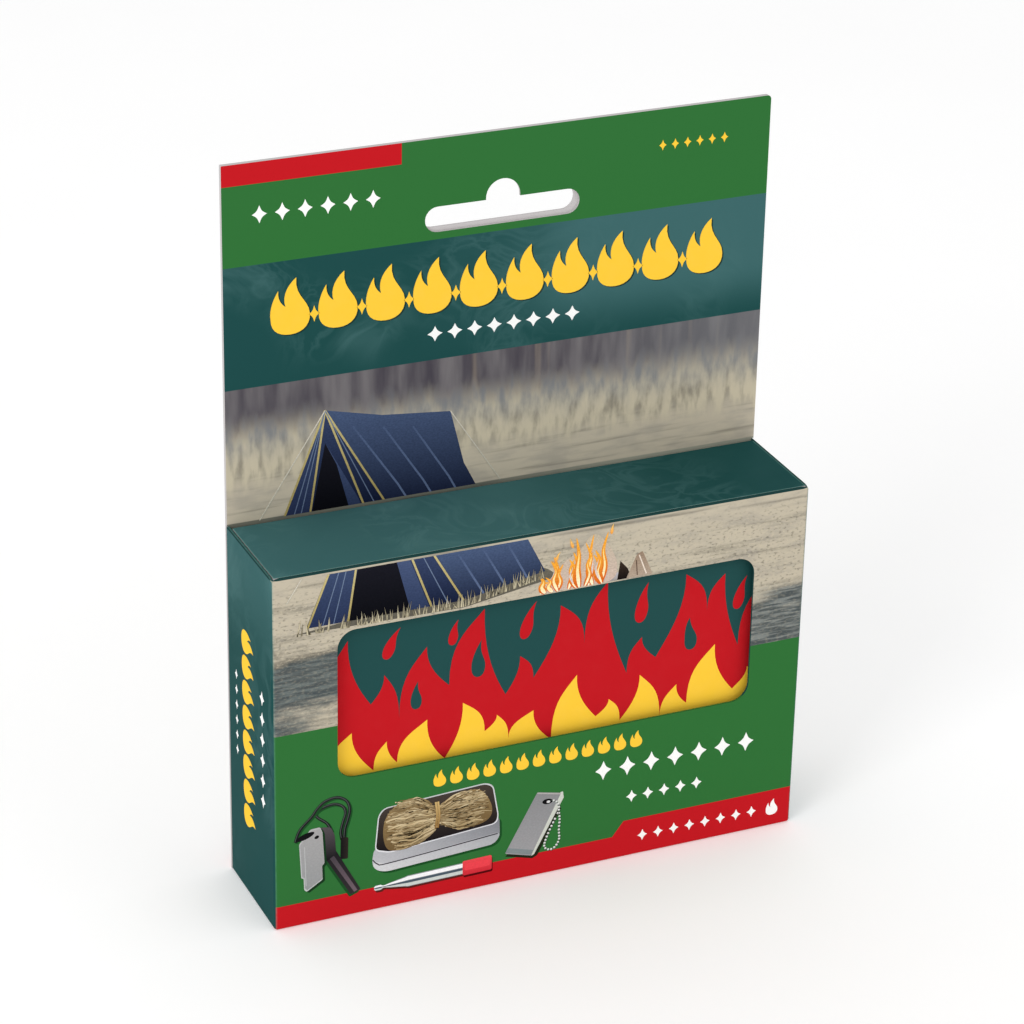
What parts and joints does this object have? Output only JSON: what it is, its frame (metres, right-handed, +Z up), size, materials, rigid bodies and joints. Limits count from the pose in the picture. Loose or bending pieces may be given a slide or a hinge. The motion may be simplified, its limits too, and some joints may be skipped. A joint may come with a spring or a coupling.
{
  "type": "fire starter tin",
  "caption": "Slip-lid fire starter tin with its kit inside, standing in a printed hang-tab carton with a window, tuck flaps and dust flaps.",
  "frame": {"origin": "middle of the carton's foot, on the surface that it stands on", "axes": "+Z up to the header's top, +X to the right as the window is seen, +Y through to the back"},
  "size_m": [0.115, 0.026, 0.1525],
  "materials": {
    "front_print": "gloss-coated printed board, green with a landscape above and red at the foot",
    "teal_print": "gloss-coated printed board, dark teal with faint smoke",
    "header_print": "gloss-coated printed board, green, teal and a landscape",
    "back_print": "gloss-coated printed board, green with a teal band",
    "board_inside": "uncoated white board",
    "tin_steel": "bright tinplate",
    "tin_print": "printed tinplate, flames over dark teal",
    "tube_steel": "polished stainless steel",
    "mouthpiece_red": "satin silicone",
    "magnesium": "dull sawn magnesium",
    "chain_steel": "nickel-plated",
    "ferro": "dark coated ferrocerium",
    "handle_plastic": "satin black",
    "striker_steel": "stamped, tumbled",
    "cord_fabric": "braided black nylon",
    "tinder_fibre": "loose jute fibre"
  },
  "bodies": {
    "carton": {"front_panel": "front_print", "left_side_panel": "teal_print", "right_side_panel": "teal_print", "back_panel": "header_print", "fifth_panel": "back_print"},
    "tin": {"tin_body": "tin_steel", "tin_lid": "tin_print", "mouthpiece": "mouthpiece_red", "blow_tube_outer": "tube_steel", "blow_tube_middle": "tube_steel", "blow_tube_inner": "tube_steel", "blow_tube_nozzle": "tube_steel", "magnesium_bar": "magnesium", "ball_chain": "chain_steel", "chain_clasp": "chain_steel", "ferro_rod": "ferro", "rod_handle": "handle_plastic", "striker_plate": "striker_steel", "lanyard_cord": "cord_fabric", "lanyard_sleeve": "handle_plastic", "tinder_bundle": "tinder_fibre", "tinder_tie": "tinder_fibre"},
    "top_closure": {"top_flap": "teal_print", "top_tuck_tongue": "teal_print"},
    "top_dust_left": {"top_dust_flap_left": "teal_print"},
    "top_dust_right": {"top_dust_flap_right": "teal_print"},
    "bottom_closure": {"bottom_flap": "teal_print", "bottom_tuck_tongue": "teal_print"},
    "bottom_dust_left": {"bottom_dust_flap_left": "teal_print"},
    "bottom_dust_right": {"bottom_dust_flap_right": "teal_print"}
  },
  "joints": [
    {"name": "tin_slide", "type": "slide", "parent": "carton", "child": "tin", "axis": [0, 0, 1], "range_m": [0, 0.0157]},
    {"name": "top_flap_hinge", "type": "hinge", "parent": "carton", "child": "top_closure", "pos_m": [0, -0.0125, 0.078], "axis": [1, 0, 0], "range_deg": [0, 180]},
    {"name": "top_dust_left_hinge", "type": "hinge", "parent": "carton", "child": "top_dust_left", "pos_m": [-0.057, 0, 0.0774], "axis": [0, -1, 0], "range_deg": [0, 90]},
    {"name": "top_dust_right_hinge", "type": "hinge", "parent": "carton", "child": "top_dust_right", "pos_m": [0.057, 0, 0.0774], "axis": [0, 1, 0], "range_deg": [0, 90]},
    {"name": "bottom_flap_hinge", "type": "hinge", "parent": "carton", "child": "bottom_closure", "pos_m": [0, -0.0125, 0], "axis": [-1, 0, 0], "range_deg": [0, 180]},
    {"name": "bottom_dust_left_hinge", "type": "hinge", "parent": "carton", "child": "bottom_dust_left", "pos_m": [-0.057, 0, 0.0006], "axis": [0, 1, 0], "range_deg": [0, 90]},
    {"name": "bottom_dust_right_hinge", "type": "hinge", "parent": "carton", "child": "bottom_dust_right", "pos_m": [0.057, 0, 0.0006], "axis": [0, -1, 0], "range_deg": [0, 90]}
  ],
  "couplings": [
    {"joint": "top_flap_hinge", "follows": "tin_slide", "rad_per_m": 200},
    {"joint": "top_dust_left_hinge", "follows": "tin_slide", "rad_per_m": 100},
    {"joint": "top_dust_right_hinge", "follows": "tin_slide", "rad_per_m": 100},
    {"joint": "bottom_dust_left_hinge", "follows": "bottom_flap_hinge", "ratio": 0.5},
    {"joint": "bottom_dust_right_hinge", "follows": "bottom_flap_hinge", "ratio": 0.5}
  ]
}
